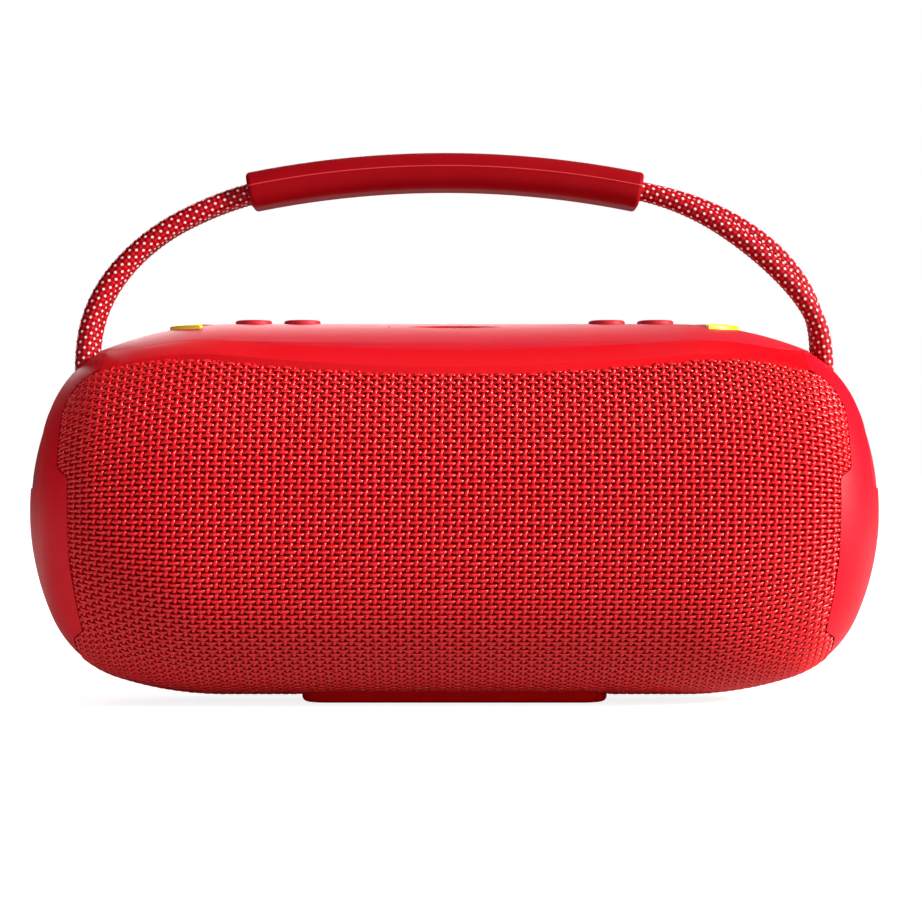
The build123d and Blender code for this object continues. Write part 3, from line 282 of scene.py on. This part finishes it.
def braid_material(name):
    """Braided cover: red yarns with painted shade in the grooves, darker where the relief is low, and round
    white flecks, from the braid's own attributes.
    """
    made, tree, shader = node_tree(name)
    strands_with_groove_shade = mixed_colour(tree, attribute(tree, "relief"), GROOVE_SHADE_COLOUR, STRAND_COLOUR)
    fleck_edge = ((FLECK_RADIUS - FLECK_BLUR) / MM, (FLECK_RADIUS + FLECK_BLUR) / MM)
    white = spread_value(tree, attribute(tree, "fleck"), 1.0, 0.0, *fleck_edge)
    tree.links.new(mixed_colour(tree, white, strands_with_groove_shade, FLECK_COLOUR), shader.inputs["Base Color"])
    bump(tree, shader, noise(tree, 2600), 0.06 * MM, 0.6)
    shader.inputs["Roughness"].default_value = 0.5
    shader.inputs["Specular IOR Level"].default_value = 0.12
    return made


# Slot: base colour, roughness, then the grain's scale and depth where they aren't the usual ones.
MATERIALS = {
    "shell_plastic": moulded("shell_plastic", (0.45, 0.004, 0.015), 0.5),
    "foot_rubber": moulded("foot_rubber", (0.66, 0.0, 0.001), 0.7, 2200, 0.03 * MM, specular=0.06),
    "band_gloss": moulded("band_gloss", (0.66, 0.0, 0.006), 0.36, 700, 0.006 * MM, vary=0.03, specular=0.14),
    "panel_matte": moulded("panel_matte", (0.60, 0.006, 0.02), 0.5, 2600, 0.018 * MM, specular=0.3),
    "window_tint": moulded("window_tint", (0.16, 0.0, 0.004), 0.15, coat=0.6),
    "accent_yellow": moulded("accent_yellow", (1.0, 0.74, 0.015), 0.38, 900, 0.006 * MM, coat=0.2, vary=0.03),
    "button_matte": moulded("button_matte", (0.50, 0.004, 0.018), 0.52, 2600, 0.02 * MM, specular=0.35),
    "circuit_board": moulded("circuit_board", (0.02, 0.12, 0.05), 0.4),
    "black_plastic": moulded("black_plastic", (0.02, 0.02, 0.02), 0.5),
    "steel": moulded("steel", (0.5, 0.5, 0.52), 0.3, metallic=1.0),
    "cap_satin": moulded("cap_satin", (0.70, 0.0, 0.010), 0.44, 1800, 0.01 * MM, vary=0.03, specular=0.16),
    # Darker than the caps: partly the inlay's own deeper red, partly painted shade of the recess it sits in.
    "inlay_dark": moulded("inlay_dark", (0.40, 0.0, 0.014), 0.45),
    "grip_rubber": moulded("grip_rubber", (0.27, 0.0, 0.003), 0.6, 2400, 0.03 * MM, specular=0.05),
    "cover_rubber": moulded("cover_rubber", (0.45, 0.0, 0.015), 0.55, 2400, 0.03 * MM, specular=0.35),
    "dome_silk": moulded("dome_silk", (0.03, 0.03, 0.03), 0.6, 3000, 0.05 * MM),
    "aluminium_plate": moulded("aluminium_plate", (0.6, 0.6, 0.62), 0.35, metallic=1.0),
    "surround_rubber": moulded("surround_rubber", (0.03, 0.03, 0.03), 0.45),
    "cell_wrap": moulded("cell_wrap", (0.05, 0.1, 0.35), 0.25, coat=0.3),
    "basket_steel": moulded("basket_steel", (0.03, 0.03, 0.03), 0.4),
    "magnet_ferrite": moulded("magnet_ferrite", (0.08, 0.08, 0.08), 0.6, 900, 0.1 * MM),
    "cone_paper": moulded("cone_paper", (0.08, 0.08, 0.08), 0.75, 1200, 0.1 * MM),
    # This dark red also colours the backing behind the yarns, where it is painted shade for the gaps of the
    # weave.
    "speaker_fabric": moulded("speaker_fabric", (0.13, 0.0, 0.002), 0.8, 1800, 0.05 * MM, specular=0.1),
    "rope_braid": braid_material("rope_braid"),
}
WARP_MATERIAL = yarn_material("warp_yarn", (0.84, 0.004, 0.016), (0.66, 0.0, 0.008), 0.5 * MM)
WEFT_MATERIAL = yarn_material("weft_yarn", (0.80, 0.0, 0.003), (0.62, 0.0, 0.001), 0.6 * MM)

for part in frame["record"]["subparts"]:
    shown = nodes[part["node"]]
    shown.data.materials.clear()
    shown.data.materials.append(MATERIALS[part["material_slot"]])


def finish_piece(piece, made):
    """Gives a piece its material, and returns it."""
    piece.data.materials.append(made)
    return piece


# ---------------------------------------------------------------- rope handle
# The route's points are part.py's own, so that the ropes lie where their CAD tubes do.
ROPE_DIAMETER = 7.0 * MM
FRONT_ROPE_MM = (
    (-130.4, -8.0, 101.7),
    (-130.7, -8.1, 111.7),
    (-130.6, -8.4, 122.7),
    (-128.9, -8.6, 134.2),
    (-123.9, -8.3, 145.7),
    (-115.4, -7.6, 156.6),
    (-104.2, -6.8, 166.1),
    (-91.0, -5.8, 173.4),
    (-76.0, -4.8, 179.4),
    (-57.5, -4.1, 183.8),
    (-36.0, -3.9, 186.5),
    (-12.0, -3.9, 187.8),
    (12.0, -3.9, 187.6),
    (34.0, -3.9, 185.9),
    (52.0, -4.1, 183.4),
    (70.5, -4.8, 180.0),
    (87.0, -5.8, 173.4),
    (101.6, -6.8, 163.8),
    (114.2, -7.6, 153.0),
    (123.6, -8.3, 142.4),
    (128.9, -8.6, 132.4),
    (130.4, -8.4, 122.2),
    (130.7, -8.1, 111.7),
    (130.4, -8.0, 101.7),
)
REAR_ROPE_MM = (
    (-130.4, 8.0, 101.7),
    (-130.7, 8.1, 111.7),
    (-130.8, 8.4, 122.7),
    (-129.4, 8.6, 134.4),
    (-124.6, 8.3, 146.2),
    (-116.0, 7.6, 157.4),
    (-104.6, 6.8, 166.9),
    (-91.0, 5.8, 174.0),
    (-76.0, 4.8, 179.6),
    (-57.5, 4.1, 183.8),
    (-36.0, 3.9, 186.5),
    (-12.0, 3.9, 187.8),
    (12.0, 3.9, 187.6),
    (34.0, 3.9, 185.9),
    (52.0, 4.1, 183.9),
    (70.0, 4.8, 181.4),
    (87.0, 5.8, 176.8),
    (102.4, 6.8, 169.6),
    (115.6, 7.6, 159.8),
    (125.2, 8.3, 147.8),
    (130.2, 8.6, 135.2),
    (131.2, 8.4, 123.7),
    (130.8, 8.1, 112.2),
    (130.4, 8.0, 101.7),
)
ROPE_SIDES = 48
ROPE_STEP = 0.45 * MM
BRAID_COLUMNS = 12
BRAID_ROW = 1.8 * MM
BRAID_RELIEF = 0.20 * MM
FLECK_RISE = 0.12 * MM
FLECK_FOOT = 1.3 * FLECK_RADIUS


def route_points(points_mm, name):
    """Points along the smooth line of a rope: a NURBS spline through its route, read as a mesh."""
    curve = bpy.data.curves.new(name + "_route", "CURVE")
    curve.dimensions = "3D"
    curve.resolution_u = 24
    spline = curve.splines.new("NURBS")
    spline.points.add(len(points_mm) - 1)
    for point, place in zip(spline.points, points_mm):
        point.co = (place[0] * MM, place[1] * MM, place[2] * MM, 1)
    spline.order_u = 3
    spline.use_endpoint_u = True
    route = bpy.data.objects.new(name + "_route", curve)
    line = bpy.data.meshes.new_from_object(route)
    found = np.array([v.co for v in line.vertices], float)
    bpy.data.meshes.remove(line)
    bpy.data.objects.remove(route)
    bpy.data.curves.remove(curve)
    return found


def evenly(line, step):
    """The line again, with points evenly spaced, and their distances along it."""
    runs = np.concatenate([[0], np.cumsum(np.linalg.norm(np.diff(line, axis=0), axis=1))])
    along = np.linspace(0, runs[-1], int(round(runs[-1] / step)) + 1)
    return np.stack([np.interp(along, runs, line[:, k]) for k in range(3)], axis=1), along


def braid(name, points_mm):
    """Rope with a braided cover, and its centre line. The tube rises at each crossing of the braid."""
    centres, along = evenly(route_points(points_mm, name), ROPE_STEP)
    ahead = np.gradient(centres, axis=0)
    ahead /= np.linalg.norm(ahead, axis=1, keepdims=True)
    side = np.cross(ahead, [0.0, 1.0, 0.0])
    side /= np.linalg.norm(side, axis=1, keepdims=True)
    other = np.cross(ahead, side)
    angle = np.arange(ROPE_SIDES) * 2 * math.pi / ROPE_SIDES
    column = angle[None, :] * BRAID_COLUMNS / (2 * math.pi)
    row = along[:, None] / BRAID_ROW
    rising, falling = column + row, column - row
    relief = np.cos(math.pi * rising) * np.cos(math.pi * falling)
    to_rising = (rising + 1) % 2 - 1
    to_falling = (falling + 1) % 2 - 1
    round_step = math.pi * ROPE_DIAMETER / BRAID_COLUMNS
    across = (to_rising + to_falling) / 2 * round_step
    length = (to_rising - to_falling) / 2 * BRAID_ROW
    fleck = np.hypot(across, length)
    crown = np.clip(1 - fleck / FLECK_FOOT, 0, 1)
    radius = ROPE_DIAMETER / 2 - BRAID_RELIEF + BRAID_RELIEF * relief + FLECK_RISE * crown
    ring = np.cos(angle)[None, :, None] * side[:, None] + np.sin(angle)[None, :, None] * other[:, None]
    points = centres[:, None] + ring * radius[..., None]
    rope = new_piece(name, points.reshape(-1, 3), grid_faces(len(centres), ROPE_SIDES))
    # The relief attribute also sets the painted shade in the grooves of the braid's material.
    for key, values in (("fleck", fleck / MM), ("relief", 0.5 + 0.5 * relief)):
        made = rope.data.attributes.new(key, "FLOAT", "POINT")
        made.data.foreach_set("value", values.ravel().astype(np.float32))
    return finish_piece(rope, MATERIALS["rope_braid"]), centres


ROPES = (("rope_front", FRONT_ROPE_MM, 0.362, "taut"), ("rope_rear", REAR_ROPE_MM, 0.367, "loose"))
for node, points_mm, length, lay in ROPES:
    rope, centres = braid(node + "_braid", points_mm)
    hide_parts(node)
    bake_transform(rope)

# ---------------------------------------------------------------- grip seams
# The grip's sides follow an arc through its middle. The seams stay a little short of its rounded ends.
GRIP_MID = Vector((-3.4 * MM, 0, 187.7 * MM))
GRIP_ARC = 346.0 * MM
SEAM_SHARE = 0.985
SEAM_RISE = 1.3 * MM
SEAM_RADIUS = 0.22 * MM
SEAM_BULGE = 0.8 * SEAM_RADIUS
SEAM_SIDES = 8
SEAM_RINGS = 90
GRIP_SEAM_MATERIAL = moulded("grip_seam", (0.62, 0.03, 0.04), 0.45, specular=0.2)


def grip_seam(name, y, half_turn):
    """Thin moulded line along one side of the grip."""
    turn = np.linspace(-half_turn, half_turn, SEAM_RINGS)[:, None]
    angle = np.arange(SEAM_SIDES)[None, :] * 2 * math.pi / SEAM_SIDES
    reach = GRIP_ARC + SEAM_RISE + SEAM_RADIUS * np.sin(angle)
    x = GRIP_MID.x + np.sin(turn) * reach
    z = GRIP_MID.z - GRIP_ARC + np.cos(turn) * reach
    points = np.stack([x, np.broadcast_to(y + SEAM_BULGE * np.cos(angle), x.shape), z], axis=-1)
    faces = grid_faces(SEAM_RINGS, SEAM_SIDES).tolist() + end_caps(SEAM_RINGS, SEAM_SIDES)
    seam = new_piece(name, points.reshape(-1, 3), faces)
    return finish_piece(seam, GRIP_SEAM_MATERIAL)


grip_low, grip_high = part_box("grip")
seam_turn = math.asin((grip_high.x - GRIP_MID.x) / GRIP_ARC) * SEAM_SHARE
for side, y in (("front", grip_low.y), ("rear", grip_high.y)):
    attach(grip_seam(f"grip_seam_{side}", y, seam_turn), "handle")

# ---------------------------------------------------------------- woven wrap
WARP_PITCH = 2.78 * MM
WEFT_ROWS = 206
WEAVE_MID = -0.60 * MM
BACKING_RISE = -0.94 * MM
WEAVE_END = 142.0 * MM
EDGE_SINK = 0.55 * MM
EDGE_REACH = 1.4 * MM
# Half width, half height and swing of the yarns, how square their wave is and how far it is pushed up.
WARP = {"width": 0.64 * MM, "height": 0.50 * MM, "swing": 0.40 * MM, "square": 1.6, "bias": 0.0}
WEFT = {"width": 0.65 * MM, "height": 0.54 * MM, "swing": 0.44 * MM, "square": 2.2, "bias": 0.28}
WARP_LEAN = 0.18 * MM
SIZE_SPREAD = 0.05
# The angles of a yarn's section, from its right foot over its top to its left foot: it is open below.
SECTION = np.radians([-20.0, 32.0, 90.0, 148.0, 200.0])
YARN_SEED = 7
draws = np.random.default_rng(YARN_SEED)

fabric = nodes["fabric_wrap"]
fabric_points = np.array([v.co for v in fabric.data.vertices], float)
fabric.data.calc_loop_triangles()
fabric_triangles = np.array([t.vertices for t in fabric.data.loop_triangles], int)
fabric_tree = BVHTree.FromPolygons(fabric_points.tolist(), fabric_triangles.tolist())


RIM_STEP = 0.7 * MM
RIM_TILT = 0.9


def rim_tree():
    """Points all along the cut edges of the cloth, for finding how far a place is from an edge.

    The edges are the faces of the CAD's skin that face neither outwards nor inwards.
    """
    corners = fabric_points[fabric_triangles]
    middle = corners.mean(axis=1)
    normal = np.cross(corners[:, 1] - corners[:, 0], corners[:, 2] - corners[:, 0])
    normal /= np.maximum(np.linalg.norm(normal, axis=1, keepdims=True), 1e-12)
    along = np.linspace(0, WEAVE_END, 2000)
    x, _, turn = outline_at(along)
    tilt = np.interp(np.abs(middle[:, 0]), x, turn) * np.sign(middle[:, 0])
    round_y, round_z = middle[:, 1], middle[:, 2] - AXIS_Z
    reach = np.maximum(np.hypot(round_y, round_z), 1e-9)
    out = np.stack([np.sin(tilt), np.cos(tilt) * round_y / reach, np.cos(tilt) * round_z / reach], axis=1)
    rim = corners[np.abs((normal * out).sum(axis=1)) < RIM_TILT]
    points = []
    for start, stop in ((0, 1), (1, 2), (2, 0)):
        for a, b in zip(rim[:, start], rim[:, stop]):
            steps = max(2, int(np.linalg.norm(b - a) / RIM_STEP))
            points.extend(a + (b - a) * t for t in np.linspace(0, 1, steps, endpoint=False))
    found = KDTree(len(points))
    for index, point in enumerate(points):
        found.insert(point, index)
    found.balance()
    return found


rims = rim_tree()
LOOK_FROM = 3.0 * MM
LOOK_TO = 5.0 * MM


def cloth_at(points, out):
    """For each place on the barrel, whether the cloth is there, and how far its nearest edge is."""
    there = np.zeros(len(points), bool)
    edge = np.zeros(len(points))
    for index, (point, direction) in enumerate(zip(points, out)):
        start = Vector(point + direction * LOOK_FROM)
        hit = fabric_tree.ray_cast(start, Vector(-direction), LOOK_TO)
        there[index] = hit[0] is not None
        if there[index]:
            edge[index] = rims.find(point)[2]
    return there, edge


def wave(phase, yarn):
    """Height of a yarn, from -1 under its neighbours to 1 over them."""
    shaped = np.tanh(yarn["square"] * (np.cos(math.pi * phase) + yarn["bias"]))
    return shaped / math.tanh(yarn["square"])


def yarn_rings(places, angles, phase, yarn, across, lean=0.0):
    """Rings of points over one yarn, and whether the cloth is there at each ring."""
    surface, out, length, girth = barrel_frame(places, angles, np.zeros_like(places))
    there, edge = cloth_at(surface, out)
    fade = np.clip(edge / EDGE_REACH, 0, 1)
    fade = fade * fade * (3 - 2 * fade)
    rise = WEAVE_MID + yarn["swing"] * wave(phase, yarn) - EDGE_SINK * (1 - fade)
    side = length if across == "length" else girth
    size = 1 + SIZE_SPREAD * (draws.random() - 0.5)
    shift = lean * np.sin(math.pi * phase)
    centre = surface + out * rise[:, None] + side * shift[:, None]
    ring = (
        np.cos(SECTION)[None, :, None] * side[:, None] * yarn["width"]
        + np.sin(SECTION)[None, :, None] * out[:, None] * yarn["height"]
    )
    return centre[:, None] + ring * size, there


SHORTEST_RUN = 3


def yarn_piece(name, yarns):
    """One mesh of many yarns, each cut where the cloth isn't."""
    points, quads, ends, count = [], [], [], 0
    sides = len(SECTION)
    for rings, there in yarns:
        cuts = np.flatnonzero(np.diff(np.concatenate([[0], there.astype(int), [0]])))
        for start, stop in zip(cuts[::2], cuts[1::2]):
            if stop - start < SHORTEST_RUN:
                continue
            points.append(rings[start:stop].reshape(-1, 3))
            quads.append(grid_faces(stop - start, sides) + count)
            ends.extend(end_caps(stop - start, sides, count))
            count += (stop - start) * sides
    return new_piece(name, np.concatenate(points).tolist(), np.concatenate(quads).tolist() + ends)


# Where each yarn has its rings, in pitches of the yarns that it crosses: closer where it bends.
WARP_STEPS = np.array([0.0, 0.28, 0.5, 0.72])
WEFT_STEPS = np.array([0.0, 0.24, 0.44, 0.60, 0.78])
WARP_COUNT = 2 * int(WEAVE_END / WARP_PITCH)
ROW_ANGLE = 2 * math.pi / WEFT_ROWS


def warp_yarns(columns):
    """Yarns that run round the barrel."""
    phase = (np.arange(WEFT_ROWS)[:, None] + WARP_STEPS[None, :]).ravel()
    for column in columns:
        place = np.full_like(phase, (column + 0.5) * WARP_PITCH)
        # The girth is counted from the top, where the cloth is open.
        angles = math.pi / 2 + phase * ROW_ANGLE
        yield yarn_rings(place, angles, phase + column + 1, WARP, "length", WARP_LEAN)


def weft_yarns(rows):
    """Yarns that run along the barrel."""
    half = WARP_COUNT // 2
    phase = (np.arange(-half, half)[:, None] + WEFT_STEPS[None, :]).ravel()
    for row in rows:
        places = (phase + 0.5) * WARP_PITCH
        angles = np.full_like(phase, math.pi / 2 + row * ROW_ANGLE)
        yield yarn_rings(places, angles, phase + row, WEFT, "girth")


def split(values, count):
    """The values in that many runs of about the same length."""
    return [part.tolist() for part in np.array_split(np.array(values), count)]


# Each piece stays below the number of triangles at which the export thins a mesh.
WARP_PIECES = 4
WEFT_PIECES = 6
yarn_pieces = []
for index, columns in enumerate(split(range(-WARP_COUNT // 2, WARP_COUNT // 2), WARP_PIECES)):
    piece = yarn_piece(f"warp_yarns_{index + 1}", warp_yarns(columns))
    yarn_pieces.append(finish_piece(piece, WARP_MATERIAL))
for index, rows in enumerate(split(range(WEFT_ROWS), WEFT_PIECES)):
    piece = yarn_piece(f"weft_yarns_{index + 1}", weft_yarns(rows))
    yarn_pieces.append(finish_piece(piece, WEFT_MATERIAL))
for piece in yarn_pieces:
    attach(piece, "housing")

BACKING_STEP = 2.0 * MM


def backing_cloth():
    """Thin cloth right behind the yarns, on the part of the barrel that the wrap covers. Its dark colour is
    painted shade: it stands in for the shadow in the gaps between the yarns.
    """
    places = np.arange(-WEAVE_END, WEAVE_END + BACKING_STEP, BACKING_STEP)
    angles = np.linspace(0, 2 * math.pi, int(2 * math.pi * BODY_RADIUS / BACKING_STEP), endpoint=False)
    place, angle = np.meshgrid(places, angles, indexing="ij")
    points, out, _, _ = barrel_frame(place.ravel(), angle.ravel(), np.full(place.size, BACKING_RISE))
    there, _ = cloth_at(points, out)
    faces = grid_faces(len(places), len(angles))
    faces = faces[there[faces].all(axis=1)]
    used, faces = np.unique(faces, return_inverse=True)
    return new_piece("fabric_backing", points[used], faces.reshape(-1, 4))


backing = finish_piece(backing_cloth(), MATERIALS["speaker_fabric"])
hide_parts("fabric_wrap")
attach(backing, "housing")

# ---------------------------------------------------------------- stage, lights and camera
FLOOR_RADIUS = 12.0
FLOOR_SIDES = 64
FLOOR_GLOW = 0.85
WHITE = (1, 1, 1, 1)


def seen_by_camera(tree):
    """Value that is 1 for what the camera sees straight away, and 0 for light that bounces or lights."""
    return tree.nodes.new("ShaderNodeLightPath").outputs["Is Camera Ray"]


def floor_material():
    """Pale floor that looks white, because it also glows, but only for the camera and not as a lamp."""
    made = moulded("studio_white", (0.6, 0.6, 0.6), 0.8, 40, 0.0, vary=0.005, specular=0.0)
    tree = made.node_tree
    shader = tree.nodes["Principled BSDF"]
    glow = tree.nodes.new("ShaderNodeMath")
    glow.operation = "MULTIPLY"
    glow.inputs[1].default_value = FLOOR_GLOW
    tree.links.new(seen_by_camera(tree), glow.inputs[0])
    shader.inputs["Emission Color"].default_value = WHITE
    tree.links.new(glow.outputs["Value"], shader.inputs["Emission Strength"])
    return made


floor_angles = np.arange(FLOOR_SIDES) * 2 * math.pi / FLOOR_SIDES
floor_rim = [(FLOOR_RADIUS * math.cos(a), FLOOR_RADIUS * math.sin(a), 0.0) for a in floor_angles]
floor = new_piece("studio_floor", floor_rim, [range(FLOOR_SIDES)])
floor.data.materials.append(floor_material())

BODY_CENTRE = Vector((0.0, 0.0, AXIS_Z))


def aimed(name, lamp, place):
    """Puts a lamp at a place and points it at the middle of the barrel."""
    light = bpy.data.objects.new(name, lamp)
    light.location = place
    light.rotation_euler = (BODY_CENTRE - Vector(place)).to_track_quat("-Z", "Y").to_euler()
    scene.collection.objects.link(light)


def sun(name, place, strength, softness):
    """Even light from one side, as from a large far lamp."""
    lamp = bpy.data.lights.new(name, "SUN")
    lamp.energy = strength
    lamp.angle = math.radians(softness)
    aimed(name, lamp, place)


def soft_box(name, place, size, power):
    """Rectangular lamp pointed at the object."""
    lamp = bpy.data.lights.new(name, "AREA")
    lamp.shape = "RECTANGLE"
    lamp.size, lamp.size_y = size
    lamp.energy = power
    aimed(name, lamp, place)


# The key light comes from the right. The back box only makes the rear readable in other views.
sun("key_light", (1.0, -0.38, 0.5), 5.4, 6)
soft_box("front_box", (0.2, -1.1, 0.75), (0.7, 0.5), 2.5)
soft_box("top_box", (0.15, 0.1, 0.9), (0.9, 0.5), 1.1)
soft_box("right_box", (0.9, -0.2, 0.25), (0.5, 0.6), 6)
soft_box("left_fill", (-1.3, -0.7, 0.15), (0.8, 0.5), 2)
soft_box("back_box", (-0.3, 1.3, 0.75), (0.9, 0.6), 9)
soft_box("front_fill", (-0.1, -1.5, 0.03), (1.2, 0.05), 2)

SURROUND_LIGHT = 0.05


def studio_world():
    """Surround that is plain white for the camera, and dimmer for what it lights."""
    world = bpy.data.worlds.new("studio")
    world.use_nodes = True
    tree = world.node_tree
    dim = tree.nodes["Background"]
    dim.inputs["Color"].default_value = WHITE
    dim.inputs["Strength"].default_value = SURROUND_LIGHT
    white = tree.nodes.new("ShaderNodeBackground")
    white.inputs["Color"].default_value = WHITE
    choice = tree.nodes.new("ShaderNodeMixShader")
    tree.links.new(seen_by_camera(tree), choice.inputs["Fac"])
    tree.links.new(dim.outputs["Background"], choice.inputs[1])
    tree.links.new(white.outputs["Background"], choice.inputs[2])
    tree.links.new(choice.outputs["Shader"], tree.nodes["World Output"].inputs["Surface"])
    return world


scene.world = studio_world()

CAMERA_PLACE = (2.3 * MM, -900.0 * MM, 85.1 * MM)
CAMERA_LENS = 98.6
CAMERA_SENSOR = 36.0
camera = bpy.data.objects.new("camera", bpy.data.cameras.new("camera"))
camera.data.lens = CAMERA_LENS
camera.data.sensor_width = CAMERA_SENSOR
camera.data.clip_start = 0.05
camera.data.clip_end = 50.0
camera.location = CAMERA_PLACE
camera.rotation_euler = (math.pi / 2, 0, 0)
scene.collection.objects.link(camera)
scene.camera = camera
scene.view_settings.view_transform = "Standard"
